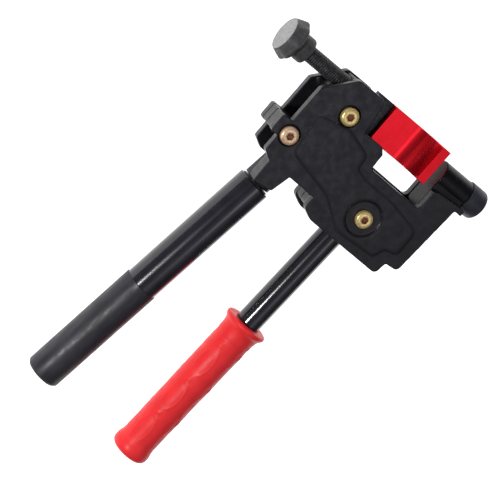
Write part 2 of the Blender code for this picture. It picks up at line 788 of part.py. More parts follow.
def drill_rear(half):
    """Counterbored holes of the two anvil screws."""
    for key, x in ANVIL_SCREWS:
        cut(half, "rear_hole_" + key, prism_mesh(circle((x, ANVIL_SCREW_Y), 5.4, 20), -20, -5))
        cut(half, "rear_seat_" + key, prism_mesh(circle((x, ANVIL_SCREW_Y), 9.4, 24), -20, -13.0))


def main():
    """Build every piece under the datum."""
    clear_scene()
    datum = bpy.data.objects.new("tool_datum", None)
    datum.location = Vector(DATUM) * MM
    bpy.context.scene.collection.objects.link(datum)
    materials = {
        "cast_black": make_material("black_cast_paint", (0.030, 0.030, 0.034), 0.42, 0.2),
        "black_gloss": make_material("black_gloss_paint", (0.020, 0.020, 0.024), 0.22, 0.3),
        "black_matte": make_material("black_matte_plastic", (0.025, 0.025, 0.028), 0.60, 0.0),
        "red_metal": make_material("red_anodised_aluminium", (0.62, 0.015, 0.03), 0.28, 0.8),
        "red_rubber": make_material("red_soft_rubber", (0.72, 0.05, 0.05), 0.50, 0.0),
        "gold": make_material("yellow_zinc_plate", (0.72, 0.55, 0.25), 0.32, 1.0),
        "copper": make_material("copper_toned_zinc_plate", (0.75, 0.48, 0.28), 0.32, 1.0),
        "steel": make_material("bright_steel", (0.55, 0.55, 0.56), 0.30, 1.0),
        "steel_dark": make_material("blackened_steel", (0.06, 0.06, 0.065), 0.40, 0.8),
        "steel_rough": make_material("phosphated_steel", (0.11, 0.11, 0.11), 0.60, 0.8),
    }
    housing_half("front_housing", 1, materials["cast_black"], datum)
    rear = housing_half("rear_housing", -1, materials["cast_black"], datum)
    drill_rear(rear)
    seat = HALF_THICK - COUNTERBORE_DEPTH - 0.3
    button_bolt("neck_bolt", NECK_BOLT, seat, materials["copper"], datum)
    button_bolt("slide_bolt", SLIDE_BOLT, seat, materials["gold"], datum)
    button_bolt("lever_pivot_bolt", PIVOT_BOLT, seat + 0.6, materials["gold"], datum)
    spacer_sleeve("slide_sleeve", SLIDE_BOLT, materials["steel"], datum)
    spacer_sleeve("pivot_sleeve", PIVOT_BOLT, materials["steel"], datum)
    fixed_handle(materials, datum)
    lever_parts(materials, datum)
    drive_roller(materials, datum)
    return_spring(materials, datum)
    carriage(materials, datum)
    die_holder(materials, datum)
    forming_die(materials, datum)
    die_screws(materials, datum)
    adjusting_screw(materials, datum)
    anvil_parts(materials, datum)


main()
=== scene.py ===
# %% [markdown]
# # Hand seamer for standing seams
#
# A roofer's tool: two cast housings bolted together, a fixed handle, a lever with a red rubber grip, a
# red forming die that slides towards an anvil, and a knob on a screw that sets the die. The packed
# model gives every piece its place and its motion. This script only dresses it: each cell makes one
# piece or one finish, and says why it is made that way.

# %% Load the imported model
import json
import math

import bmesh
import bpy
from mathutils import Matrix, Vector

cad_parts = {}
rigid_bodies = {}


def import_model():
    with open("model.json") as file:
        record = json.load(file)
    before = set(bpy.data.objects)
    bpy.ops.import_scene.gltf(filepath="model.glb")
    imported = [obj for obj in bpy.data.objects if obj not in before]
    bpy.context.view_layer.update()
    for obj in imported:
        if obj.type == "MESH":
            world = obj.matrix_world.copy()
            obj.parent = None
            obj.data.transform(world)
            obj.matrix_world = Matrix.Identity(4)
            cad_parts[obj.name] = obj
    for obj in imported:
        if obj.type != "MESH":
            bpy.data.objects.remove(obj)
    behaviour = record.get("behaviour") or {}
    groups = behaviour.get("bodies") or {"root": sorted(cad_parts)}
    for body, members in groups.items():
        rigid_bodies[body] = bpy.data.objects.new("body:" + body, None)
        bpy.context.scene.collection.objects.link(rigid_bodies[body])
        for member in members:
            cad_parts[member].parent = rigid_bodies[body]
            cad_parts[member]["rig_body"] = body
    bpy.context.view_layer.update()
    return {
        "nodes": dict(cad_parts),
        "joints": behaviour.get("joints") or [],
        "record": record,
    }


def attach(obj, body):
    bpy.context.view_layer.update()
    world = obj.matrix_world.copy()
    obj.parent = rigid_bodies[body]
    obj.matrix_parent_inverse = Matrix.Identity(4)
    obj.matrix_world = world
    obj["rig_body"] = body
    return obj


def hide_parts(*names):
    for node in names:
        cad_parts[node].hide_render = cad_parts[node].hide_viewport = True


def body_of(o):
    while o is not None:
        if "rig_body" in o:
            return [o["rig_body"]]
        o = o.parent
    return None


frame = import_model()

MM = 0.001

# %% [markdown]
# ## A drawing frame
#
# The tool was drawn in millimetres from a point in its mid plane, between the housings. The lever's
# pivot is in the record, so that point can be worked out from it, and every size below can be written
# the way it stands on the drawing.

# %% Drawing frame
PIVOT = (40.3, -19.6)
joints = {joint["name"]: joint for joint in frame["joints"]}
pivot_world = Vector(joints["lever_squeeze"]["pos_m"])
DATUM = pivot_world - Vector((PIVOT[0], PIVOT[1], 0)) * MM
print("drawing origin in metres:", tuple(round(v, 4) for v in DATUM))


def spot(x, y, z=0.0):
    """A point of the drawing, in metres."""
    return DATUM + Vector((x, y, z)) * MM


# %% [markdown]
# ## Camera
#
# A long lens looks down on the tool, which lies on its rear housing. The camera is placed like a
# telescope: an aim point, a distance, an azimuth and an elevation, and a roll that turns the picture
# so that the handles run to the lower left.

# %% Camera
AIM = spot(-3.1, -88.7, 0.0)
VIEW_DISTANCE = 0.924
VIEW_AZIMUTH = 158.2
VIEW_ELEVATION = 62.2
VIEW_ROLL = 150.4
LENS_MM = 93.6


def camera_axes():
    """Right, up and back of the camera as columns."""
    azimuth = math.radians(VIEW_AZIMUTH)
    elevation = math.radians(VIEW_ELEVATION)
    back = Vector((
        math.cos(elevation) * math.cos(azimuth),
        math.cos(elevation) * math.sin(azimuth),
        math.sin(elevation),
    ))
    level = Vector((0, 0, 1)).cross(back).normalized()
    right = Matrix.Rotation(math.radians(VIEW_ROLL), 3, back) @ level
    up = back.cross(right)
    return Matrix((right, up, back)).transposed()


camera = bpy.data.objects.new("camera", bpy.data.cameras.new("camera"))
camera.data.lens = LENS_MM
camera.data.sensor_width = 36.0
camera.data.clip_start = 0.01
turn = camera_axes()
camera.matrix_world = Matrix.Translation(AIM + turn.col[2] * VIEW_DISTANCE) @ turn.to_4x4()
bpy.context.scene.collection.objects.link(camera)
bpy.context.scene.camera = camera

# %% [markdown]
# ## Table
#
# A glowing white table under the tool keeps the shadows faint and lights the side faces from below. It is
# a plane with a little emission, so it needs no lamp of its own and stays evenly white to its edges.

# %% Table
PAPER_SIZE = 6.0
PAPER_GLOW = 1.25
bpy.ops.mesh.primitive_plane_add(size=PAPER_SIZE, location=(0, 0, -0.0002))
paper = bpy.context.object
paper.name = "paper"
paper_look = bpy.data.materials.new("white_paper")
paper_look.use_nodes = True
paper_shader = paper_look.node_tree.nodes["Principled BSDF"]
paper_shader.inputs["Base Color"].default_value = (0.30, 0.30, 0.30, 1)
paper_shader.inputs["Roughness"].default_value = 1.0
paper_shader.inputs["Specular IOR Level"].default_value = 0.0
paper_shader.inputs["Emission Color"].default_value = (1, 1, 1, 1)
paper_shader.inputs["Emission Strength"].default_value = PAPER_GLOW
paper.data.materials.append(paper_look)
print("table glows at", PAPER_GLOW)

# %% [markdown]
# ## Lamps
#
# One small key lamp low on the left draws the thin lines along the tubes. Two wide lamps lift the side
# faces, but must not show up as white sheets in the black paint, so they are hidden from reflections.

# %% Lamps
KEY_POWER = 4.4
LEFT_POWER = 13
FAR_POWER = 5


def soft_light(name, direction, distance, size, power):
    """A round area light that looks at the middle of the tool."""
    data = bpy.data.lights.new(name, "AREA")
    data.shape = "DISK"
    data.size = size
    data.energy = power
    lamp = bpy.data.objects.new(name, data)
    way = Vector(direction).normalized()
    lamp.location = spot(0, -60) + way * distance
    lamp.rotation_euler = way.to_track_quat("Z", "Y").to_euler()
    bpy.context.scene.collection.objects.link(lamp)
    return lamp


soft_light("key", (-0.62, -0.27, 0.71), 0.9, 0.11, KEY_POWER)
soft_light("left_wall", (-1.0, 0.25, 0.22), 1.4, 0.9, LEFT_POWER).visible_glossy = False
soft_light("far_wall", (0.15, 1.0, 0.45), 1.5, 0.8, FAR_POWER).visible_glossy = False
print("lamps placed: 3")

# %% [markdown]
# ## Ceiling
#
# Black paint shows what it mirrors, so the room is kept simple: a soft bright patch in the ceiling and dim
# walls. The patch is made in the world's own nodes. The angle between each direction and the middle of the
# patch goes through a colour ramp, whose steps say how bright the ceiling is at that angle.

# %% Ceiling
CEILING_WAY = Vector((0.31, -0.04, 0.95)).normalized()
CEILING_BLUE = 1.10
CEILING_STEPS = (
    (0.0, 0.20),
    (0.50, 0.08),
    (0.82, 0.13),
    (0.94, 0.36),
    (0.982, 0.56),
    (0.994, 1.7),
    (1.0, 2.6),
)


def set_step(step, level):
    """Give a step of the ramp a slightly blue grey."""
    step.color = (level, level, level * CEILING_BLUE, 1)


world = bpy.data.worlds.new("studio")
world.use_nodes = True
bpy.context.scene.world = world
sky = world.node_tree.nodes
links = world.node_tree.links
where = sky.new("ShaderNodeTexCoord")
toward = sky.new("ShaderNodeVectorMath")
toward.operation = "DOT_PRODUCT"
toward.inputs[1].default_value = CEILING_WAY
patch = sky.new("ShaderNodeValToRGB")
first, last = patch.color_ramp.elements
set_step(first, CEILING_STEPS[0][1])
set_step(last, CEILING_STEPS[-1][1])
for position, level in CEILING_STEPS[1:-1]:
    set_step(patch.color_ramp.elements.new(position), level)
links.new(where.outputs["Generated"], toward.inputs[0])
links.new(toward.outputs["Value"], patch.inputs[0])
links.new(patch.outputs[0], sky["Background"].inputs[0])
bpy.context.scene.view_settings.view_transform = "Standard"
print("ceiling patch looks along", tuple(round(v, 2) for v in CEILING_WAY))

# %% [markdown]
# ## Finishes
#
# Each finish is a Principled shader fed by noise in object coordinates, so grain stays in place when a
# piece moves. A noise can darken the colour, change the roughness, or become a bump. Blender's pointiness
# is high on outside edges and low in hollows, and mixing a paler colour there paints a highlight along the
# edges of a dense mesh, for the light that rounded edges catch.

# %% Tools for finishes
def finish(name, colour, roughness, metallic=0.0, coat=0.0, mirror=0.5):
    """A Principled material and its shader."""
    look = bpy.data.materials.new(name)
    look.use_nodes = True
    shader = look.node_tree.nodes["Principled BSDF"]
    shader.inputs["Base Color"].default_value = (*colour, 1)
    shader.inputs["Roughness"].default_value = roughness
    shader.inputs["Metallic"].default_value = metallic
    shader.inputs["Coat Weight"].default_value = coat
    shader.inputs["Coat Roughness"].default_value = 0.12
    shader.inputs["Specular IOR Level"].default_value = mirror
    return look


def noise(look, size_mm, stretch=(1, 1, 1), detail=4.0):
    """Noise whose blotches are size_mm wide, stretched along the axes."""
    nodes = look.node_tree.nodes
    wires = look.node_tree.links
    place = nodes.new("ShaderNodeTexCoord")
    scale = nodes.new("ShaderNodeMapping")
    scale.inputs["Scale"].default_value = [1 / (size_mm * MM * s) for s in stretch]
    cloud = nodes.new("ShaderNodeTexNoise")
    cloud.inputs["Scale"].default_value = 1.0
    cloud.inputs["Detail"].default_value = detail
    wires.new(place.outputs["Object"], scale.inputs[0])
    wires.new(scale.outputs[0], cloud.inputs["Vector"])
    return cloud.outputs["Fac"]


def between(look, source, low, high, start=0.35, stop=0.65):
    """A value from low to high, as source goes from start to stop."""
    remap = look.node_tree.nodes.new("ShaderNodeMapRange")
    for key, value in (("From Min", start), ("From Max", stop), ("To Min", low), ("To Max", high)):
        remap.inputs[key].default_value = value
    look.node_tree.links.new(source, remap.inputs["Value"])
    return remap.outputs[0]


def uneven_gloss(look, source, low, high):
    """Roughness that wanders between two values."""
    shader = look.node_tree.nodes["Principled BSDF"]
    look.node_tree.links.new(between(look, source, low, high), shader.inputs["Roughness"])


def skin(look, source, height_mm, strength=1.0):
    """A bump of that height, on top of any bump the finish already has."""
    nodes = look.node_tree.nodes
    wires = look.node_tree.links
    bump = nodes.new("ShaderNodeBump")
    bump.inputs["Strength"].default_value = strength
    bump.inputs["Distance"].default_value = height_mm * MM
    wires.new(source, bump.inputs["Height"])
    normal = nodes["Principled BSDF"].inputs["Normal"]
    if normal.is_linked:
        wires.new(normal.links[0].from_socket, bump.inputs["Normal"])
    wires.new(bump.outputs[0], normal)


def blotches(look, source, dark, light):
    """Base colour that wanders between two shades."""
    nodes = look.node_tree.nodes
    ramp = nodes.new("ShaderNodeValToRGB")
    ramp.color_ramp.elements[0].position = 0.3
    ramp.color_ramp.elements[0].color = (*dark, 1)
    ramp.color_ramp.elements[1].position = 0.7
    ramp.color_ramp.elements[1].color = (*light, 1)
    look.node_tree.links.new(source, ramp.inputs[0])
    look.node_tree.links.new(ramp.outputs[0], nodes["Principled BSDF"].inputs["Base Color"])


def painted_edge_highlight(look, colour, source, start=0.53, stop=0.62):
    """A painted highlight: a paler colour on outside edges, broken up by a noise."""
    nodes = look.node_tree.nodes
    wires = look.node_tree.links
    shape = nodes.new("ShaderNodeNewGeometry")
    edge = between(look, shape.outputs["Pointiness"], 0.0, 1.0, start, stop)
    patchy = between(look, source, 0.15, 1.0)
    both = nodes.new("ShaderNodeMath")
    both.operation = "MULTIPLY"
    wires.new(edge, both.inputs[0])
    wires.new(patchy, both.inputs[1])
    mix = nodes.new("ShaderNodeMix")
    mix.data_type = "RGBA"
    base = nodes["Principled BSDF"].inputs["Base Color"]
    wires.new(both.outputs[0], mix.inputs["Factor"])
    wires.new(base.links[0].from_socket, mix.inputs["A"])
    mix.inputs["B"].default_value = (*colour, 1)
    wires.new(mix.outputs["Result"], base)


# %% [markdown]
# ## Black paints and plastics
#
# The castings are sprayed black over a slightly grainy surface, so their gloss is uneven. The tubes are
# smoother and shinier, with faint lines drawn along them. The sleeve and the knob are moulded plastic with
# a dull, fine grain.

# %% Black finishes
cast_black = finish("cast_black_paint", (0.006, 0.005, 0.008), 0.34, mirror=0.34)
blotches(cast_black, noise(cast_black, 9), (0.005, 0.004, 0.006), (0.009, 0.008, 0.011))
uneven_gloss(cast_black, noise(cast_black, 5), 0.27, 0.42)
skin(cast_black, noise(cast_black, 1.4, detail=3), 0.045)
skin(cast_black, noise(cast_black, 14, detail=1), 0.10)
# painted highlight: paler edges on the castings, for the light their rounded edges catch
painted_edge_highlight(cast_black, (0.11, 0.105, 0.12), noise(cast_black, 3), 0.55, 0.66)

anvil_black = finish("oiled_black_anvil", (0.004, 0.0035, 0.0045), 0.3, mirror=0.2)
blotches(anvil_black, noise(anvil_black, 6), (0.003, 0.0026, 0.0034), (0.005, 0.0045, 0.006))
uneven_gloss(anvil_black, noise(anvil_black, 4), 0.24, 0.36)
skin(anvil_black, noise(anvil_black, 1.2), 0.03)

gloss_black = finish("gloss_black_paint", (0.006, 0.006, 0.009), 0.18, coat=0.55, mirror=0.34)
blotches(gloss_black, noise(gloss_black, 12), (0.005, 0.005, 0.008), (0.010, 0.010, 0.015))
uneven_gloss(gloss_black, noise(gloss_black, 12.0, (1, 10, 1), 1), 0.17, 0.2)
skin(gloss_black, noise(gloss_black, 14.0, (1, 6, 1), 1), 0.0004)

matte_black = finish("matte_black_plastic", (0.010, 0.010, 0.013), 0.5, mirror=0.4)
blotches(matte_black, noise(matte_black, 7, (1, 3, 1)), (0.008, 0.008, 0.011), (0.020, 0.020, 0.026))
uneven_gloss(matte_black, noise(matte_black, 6, (1, 2, 1)), 0.36, 0.56)
skin(matte_black, noise(matte_black, 0.7, detail=2), 0.03)

cap_black = finish("dull_black_cap", (0.016, 0.016, 0.023), 0.5, mirror=0.4)
blotches(cap_black, noise(cap_black, 6), (0.012, 0.012, 0.019), (0.024, 0.024, 0.035))
uneven_gloss(cap_black, noise(cap_black, 5), 0.4, 0.56)
skin(cap_black, noise(cap_black, 0.7, detail=2), 0.03)

knob_black = finish("moulded_black_knob", (0.03, 0.03, 0.031), 0.6)
blotches(knob_black, noise(knob_black, 2.5), (0.022, 0.022, 0.023), (0.050, 0.050, 0.051))
uneven_gloss(knob_black, noise(knob_black, 1.5), 0.48, 0.68)
skin(knob_black, noise(knob_black, 0.8, detail=3), 0.07)
# painted highlight: paler edges on the knob's lobes, for the small glints at their corners
painted_edge_highlight(knob_black, (0.14, 0.14, 0.14), noise(knob_black, 1.2))

# painted light: a pale grey for the knob's face, standing in for the light that falls on it
knob_face = finish("painted_light_knob_face", (0.22, 0.22, 0.22), 0.7)
blotches(knob_face, noise(knob_face, 2.0), (0.17, 0.17, 0.17), (0.26, 0.26, 0.26))
uneven_gloss(knob_face, noise(knob_face, 1.5), 0.6, 0.8)
skin(knob_face, noise(knob_face, 0.6, detail=3), 0.06)
print("black finishes made: 7")

# %% [markdown]
# ## Red finishes
#
# The die is aluminium, milled and then anodised: the dye lies in a clear skin on bright metal, so it
# shines red, with fine milling lines across it. The grip is soft vinyl, where some light goes in and
# comes out again, which subsurface scattering gives.

# %% Red finishes
red_anodised = finish("red_anodised_aluminium", (0.80, 0.012, 0.022), 0.19, metallic=0.88)
blotches(red_anodised, noise(red_anodised, 8), (0.73, 0.009, 0.018), (0.79, 0.012, 0.023))
uneven_gloss(red_anodised, noise(red_anodised, 1.2, (1, 20, 1)), 0.20, 0.25)
skin(red_anodised, noise(red_anodised, 0.6, (1, 40, 1), 2), 0.0012)

red_vinyl = finish("red_soft_vinyl", (0.60, 0.022, 0.026), 0.46, mirror=0.22)
red_vinyl_shader = red_vinyl.node_tree.nodes["Principled BSDF"]
red_vinyl_shader.inputs["Subsurface Weight"].default_value = 0.12
red_vinyl_shader.inputs["Subsurface Radius"].default_value = (1.0, 0.25, 0.2)
red_vinyl_shader.inputs["Subsurface Scale"].default_value = 0.002
red_vinyl_shader.inputs["Sheen Weight"].default_value = 0.02
blotches(red_vinyl, noise(red_vinyl, 11), (0.68, 0.021, 0.024), (0.75, 0.026, 0.029))
uneven_gloss(red_vinyl, noise(red_vinyl, 6), 0.34, 0.5)
skin(red_vinyl, noise(red_vinyl, 0.9, detail=3), 0.03)
print("red finishes made: 2")

# %% [markdown]
# ## Plated and bare steel
#
# Zinc plating is passivated yellow, and on one bolt it has come out more copper. Both vary in tint over a
# few millimetres. The screw is phosphated, which is dark grey, dull and a little crystalline. Hidden pins
# and sleeves are plain turned steel, and the slide is blackened.

# %% Metal finishes
yellow_zinc = finish("yellow_zinc", (0.62, 0.50, 0.20), 0.34, metallic=0.75)
blotches(yellow_zinc, noise(yellow_zinc, 3), (0.78, 0.56, 0.20), (0.92, 0.74, 0.34))
uneven_gloss(yellow_zinc, noise(yellow_zinc, 1.6), 0.26, 0.44)
skin(yellow_zinc, noise(yellow_zinc, 0.8), 0.02)

copper_zinc = finish("copper_zinc", (0.70, 0.45, 0.27), 0.36, metallic=0.7)
blotches(copper_zinc, noise(copper_zinc, 3), (0.74, 0.46, 0.26), (0.84, 0.62, 0.42))
uneven_gloss(copper_zinc, noise(copper_zinc, 1.6), 0.28, 0.46)
skin(copper_zinc, noise(copper_zinc, 0.8), 0.02)

# painted shade: the inside of each hex socket gets this dark brown, for the shade in the recess
socket_shade = finish("painted_shade_socket", (0.20, 0.07, 0.035), 0.45, metallic=0.5)
blotches(socket_shade, noise(socket_shade, 1.5), (0.10, 0.03, 0.018), (0.34, 0.13, 0.06))
skin(socket_shade, noise(socket_shade, 0.7), 0.05)

bright_steel = finish("turned_steel", (0.52, 0.52, 0.53), 0.3, metallic=1.0)
blotches(bright_steel, noise(bright_steel, 4), (0.42, 0.42, 0.43), (0.58, 0.58, 0.59))
uneven_gloss(bright_steel, noise(bright_steel, 0.8), 0.22, 0.4)
skin(bright_steel, noise(bright_steel, 0.5), 0.01)

dark_steel = finish("blackened_steel", (0.03, 0.03, 0.034), 0.4, metallic=0.6)
blotches(dark_steel, noise(dark_steel, 5), (0.018, 0.018, 0.021), (0.040, 0.040, 0.045))
uneven_gloss(dark_steel, noise(dark_steel, 2), 0.32, 0.5)
skin(dark_steel, noise(dark_steel, 0.7, (1, 8, 1)), 0.02)

rough_steel = finish("phosphated_steel", (0.035, 0.035, 0.036), 0.55, metallic=0.4)
blotches(rough_steel, noise(rough_steel, 2.5), (0.010, 0.010, 0.011), (0.042, 0.042, 0.044))
uneven_gloss(rough_steel, noise(rough_steel, 1.2), 0.42, 0.66)
skin(rough_steel, noise(rough_steel, 0.9), 0.08)
print("metal finishes made: 6")

# %% [markdown]
# ## Places on the tool
#
# Turned pieces are drawn round their own Z axis and then put in place by a frame: down one of the handles,
# along the adjusting screw, or upright on the housing like a bolt.

# %% Places
FIXED_START = (-34.2, -47.2)
FIXED_TILT = 8.4
LEVER_START = (38.45, -19.6)
LEVER_TILT = 2.15
SCREW_Y = 44.0


def leaning(start, tilt):
    """Frame of a handle: +Z runs down its axis from start."""
    angle = math.radians(tilt)
    axis = Vector((-math.sin(angle), -math.cos(angle), 0))
    up = Vector((0, 0, 1))
    turn = Matrix((up.cross(axis), up, axis)).transposed()
    return Matrix.Translation((*start, 0)) @ turn.to_4x4()


def along_x(x, y):
    """Frame whose +Z runs along the screw, to +X."""
    turn = Matrix(((0, 0, 1), (0, 1, 0), (-1, 0, 0)))
    return Matrix.Translation((x, y, 0)) @ turn.to_4x4()


def upright(x, y):
    """Frame of a bolt, standing on the housing."""
    return Matrix.Translation((x, y, 0))


print("handles lean by", FIXED_TILT, "and", LEVER_TILT, "degrees")

# %% [markdown]
# ## Turning tools
#
# Most pieces here are turned: a profile of radius and height goes round an axis. A turned piece can be
# less than perfectly round if its radius also depends on the angle, and that is how the knob gets its
# lobes, the screw its thread and the grip its moulded pattern. The profile is first cut into short steps
# so that such detail has enough points to live on.

# %% Turning
def fine_steps(profile, step):
    """The same profile, cut into pieces no longer than step."""
    points = []
    for (r0, h0), (r1, h1) in zip(profile, profile[1:] + profile[:1]):
        count = max(1, int(math.hypot(r1 - r0, h1 - h0) / step))
        points += [(r0 + (r1 - r0) * i / count, h0 + (h1 - h0) * i / count) for i in range(count)]
    return points


def turned(name, profile, place, look, count=96, shape=None, sharp=35):
    """A closed (radius, height) profile in mm, turned round place's Z axis. shape(r, h, angle) bends r."""
    bm = bmesh.new()
    rings = []
    for radius, height in profile:
        if radius == 0:
            rings.append([bm.verts.new((0, 0, height))])
            continue
        ring = []
        for i in range(count):
            angle = 2 * math.pi * i / count
            r = shape(radius, height, angle) if shape else radius
            ring.append(bm.verts.new((r * math.cos(angle), r * math.sin(angle), height)))
        rings.append(ring)
    for first, second in zip(rings, rings[1:] + rings[:1]):
        for i in range(count):
            j = (i + 1) % count
            near_side = (first[i % len(first)], first[j % len(first)])
            far_side = (second[j % len(second)], second[i % len(second)])
            face = list(dict.fromkeys(near_side + far_side))
            if len(face) > 2:
                bm.faces.new(face)
    return from_bmesh(name, bm, place, look, sharp)


def from_bmesh(name, bm, place, look, sharp=35):
    """Write a mesh in drawing millimetres as a piece in the world."""
    bmesh.ops.recalc_face_normals(bm, faces=bm.faces)
    mesh = bpy.data.meshes.new(name)
    world = Matrix.Translation(DATUM) @ Matrix.Scale(MM, 4) @ place
    bmesh.ops.transform(bm, matrix=world, verts=bm.verts)
    bm.to_mesh(mesh)
    bm.free()
    mesh.shade_smooth()
    mesh.set_sharp_from_angle(angle=math.radians(sharp))
    mesh.materials.append(look)
    piece = bpy.data.objects.new(name, mesh)
    bpy.context.scene.collection.objects.link(piece)
    return piece


# %% [markdown]
# ## Taking a imported piece's place
#
# A finished piece rides on the body of the imported node that it stands for and hides that node. Sharp
# edges that were not drawn round get a small bevel, which catches the light.

# %% Standing in
slot_of = {part["node"]: part["material_slot"] for part in frame["record"]["subparts"]}


def stand_in(piece, node):
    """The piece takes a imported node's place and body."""
    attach(piece, body_of(frame["nodes"][node])[0])
    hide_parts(node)
    print(piece.name, "stands for", node, "with", len(piece.data.polygons), "faces")


def soften(piece, width, angle=30):
    """Round the sharp edges by a small bevel."""
    edge = piece.modifiers.new("soft_edges", "BEVEL")
    edge.width = width * MM
    edge.segments = 3
    edge.limit_method = "ANGLE"
    edge.angle_limit = math.radians(angle)
    edge.harden_normals = True


print("packed nodes with a slot:", len(slot_of))

# %% [markdown]
# ## Cast housings
#
# A casting has no sharp edge: corners are round because the sand or the die is, and hollows have fillets.
# Bevelling each edge by hand would take long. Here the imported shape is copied, remeshed into small even
# cells, and smoothed a few times, which rounds every edge and fills every hollow by the same small
# amount, as casting does. Last, the cells are thinned out again where the surface is flat.

# %% Cast pieces
CAST_CELL = 0.42
PANEL_BASE = 16.24
PANEL_KEEP = 0.34
PANEL_PASSES = 60
ROUNDING_PASSES = 5
THIN_HOUSING = 0.30
THIN_ANVIL = 0.35


def baked(piece):
    """The piece's mesh with its modifiers applied."""
    bpy.context.view_layer.update()
    shaped = piece.evaluated_get(bpy.context.evaluated_depsgraph_get())
    mesh = bpy.data.meshes.new_from_object(shaped)
    piece.modifiers.clear()
    piece.data = mesh


def relax_above(piece, height, passes):
    """Lower and smooth only what stands above a height, so a raised panel gets sloping shoulders."""
    bm = bmesh.new()
    bm.from_mesh(piece.data)
    limit = DATUM.z + height * MM
    raised = [v for v in bm.verts if v.co.z > limit]
    for v in raised:
        v.co.z = limit + (v.co.z - limit) * PANEL_KEEP
    for _ in range(passes):
        bmesh.ops.smooth_vert(bm, verts=raised, factor=0.5, use_axis_x=True, use_axis_y=True, use_axis_z=True)
    bm.to_mesh(piece.data)
    bm.free()
    print("relaxed", len(raised), "points of", piece.name)


def cast_from(name, node, look, passes, thin, panel_passes=0):
    """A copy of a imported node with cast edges, as a new piece."""
    piece = bpy.data.objects.new(name, frame["nodes"][node].data.copy())
    bpy.context.scene.collection.objects.link(piece)
    cells = piece.modifiers.new("cells", "REMESH")
    cells.mode = "VOXEL"
    cells.voxel_size = CAST_CELL * MM
    even = piece.modifiers.new("round", "SMOOTH")
    even.factor = 0.5
    even.iterations = passes
    baked(piece)
    if panel_passes:
        relax_above(piece, PANEL_BASE, panel_passes)
    lighter = piece.modifiers.new("thin", "DECIMATE")
    lighter.ratio = thin
    baked(piece)
    piece.data.shade_smooth()
    piece.data.materials.clear()
    piece.data.materials.append(look)
    stand_in(piece, node)


cast_from("front_cast_body", "front_housing", cast_black, ROUNDING_PASSES, THIN_HOUSING, PANEL_PASSES)
cast_from("rear_cast_body", "rear_housing", cast_black, ROUNDING_PASSES, THIN_HOUSING)
cast_from("round_anvil", "anvil_block", anvil_black, ROUNDING_PASSES, THIN_ANVIL)

# %% [markdown]
# ## Bolts
#
# Three button-head bolts hold the castings. A button head is a low dome with a hexagon socket. It is
# turned here, and the inner rings of the head are laid on a hexagon instead of a circle, so the socket
# needs no Boolean and keeps clean quads.

# %% Bolts
SOCKET_FLATS = 4.8
SOCKET_RING = 3.2
SHANK_RADIUS = 4.0
SHANK_END = -17.1
HEAD_RADIUS = 6.5
HEAD_HEIGHT = 4.2


def hexagon_reach(angle):
    """Distance from a hexagon's middle to its side, at that angle."""
    sector = (angle + math.pi / 6) % (math.pi / 3) - math.pi / 6
    return SOCKET_FLATS / 2 / math.cos(sector)


def socket_shape(radius, height, angle):
    """Circle outside the socket, hexagon inside it."""
    return radius if radius > SOCKET_RING else hexagon_reach(angle) * radius / SOCKET_RING


def button_bolt(name, node, center, look, base):
    """Dome-headed bolt whose head starts at height base."""
    top = base + HEAD_HEIGHT
    profile = [(0, SHANK_END), (3.4, SHANK_END), (SHANK_RADIUS, SHANK_END + 0.8), (SHANK_RADIUS, base)]
    profile += [(6.2, base), (HEAD_RADIUS, base + 0.3), (HEAD_RADIUS, base + 2.3), (6.35, top - 1.2)]
    profile += [(5.95, top - 0.6), (5.3, top - 0.25), (4.3, top - 0.08), (3.5, top)]
    profile += [(SOCKET_RING, top - 0.3), (SOCKET_RING, top - 2.2), (2.0, top - 2.35), (0, top - 2.5)]
    bolt = turned(name, profile, upright(*center), look, 72, socket_shape)
    # painted shade: the faces inside the socket get the dark brown second material
    bolt.data.materials.append(socket_shade)
    mouth = DATUM.z + (top - 0.4) * MM
    for face in bolt.data.polygons:
        away = face.center - (DATUM + Vector((*center, 0)) * MM)
        if math.hypot(away.x, away.y) < 3.0 * MM and face.center.z < mouth and face.center.z > DATUM.z:
            face.material_index = 1
    stand_in(bolt, node)


button_bolt("copper_neck_bolt", "neck_bolt", (-45.0, -6.0), copper_zinc, 15.0)
button_bolt("yellow_slide_bolt", "slide_bolt", (-20.0, 29.4), yellow_zinc, 15.0)
button_bolt("yellow_pivot_bolt", "lever_pivot_bolt", PIVOT, yellow_zinc, 15.6)

# %% [markdown]
# ## Fixed handle
#
# A painted tube carries a thin, duller sleeve over its lower half, closed by a plug. All three are turned
# on the handle's own axis, which leans a little from the housing. Their ends get small radii, because a
# cut tube is always deburred and a bright line shows there.

# %% Fixed handle
fixed = leaning(FIXED_START, FIXED_TILT)
tube = [(11.3, 1.2), (12.6, 1.2), (13.1, 1.8), (13.1, 202.0), (12.9, 202.3), (11.3, 202.3)]
stand_in(turned("fixed_tube", fine_steps(tube, 12), fixed, gloss_black), "fixed_handle_tube")
sleeve = [(13.3, 108.0), (13.45, 108.0), (13.7, 108.35), (13.7, 202.3), (13.55, 203.1), (13.3, 203.3)]
stand_in(turned("fixed_sleeve", fine_steps(sleeve, 12), fixed, matte_black), "fixed_handle_sleeve")
plug = [(0, 189.3), (11.15, 189.3), (11.15, 202.7), (12.9, 202.7)]
plug += [(12.8, 203.7), (12.2, 204.7), (11.2, 205.0), (0, 205.1)]
stand_in(turned("fixed_plug", plug, fixed, matte_black), "fixed_handle_plug")

# %% [markdown]
# ## Lever tube and red grip
#
# The grip is dipped and moulded vinyl: a wide flange keeps the hand off the housing, and a chain of long
# ovals with small stars between them is raised on it. The pattern is only a few tenths of a millimetre
# high, but it is real shape here: the radius grows where a point lies on the outline of an oval or a star.

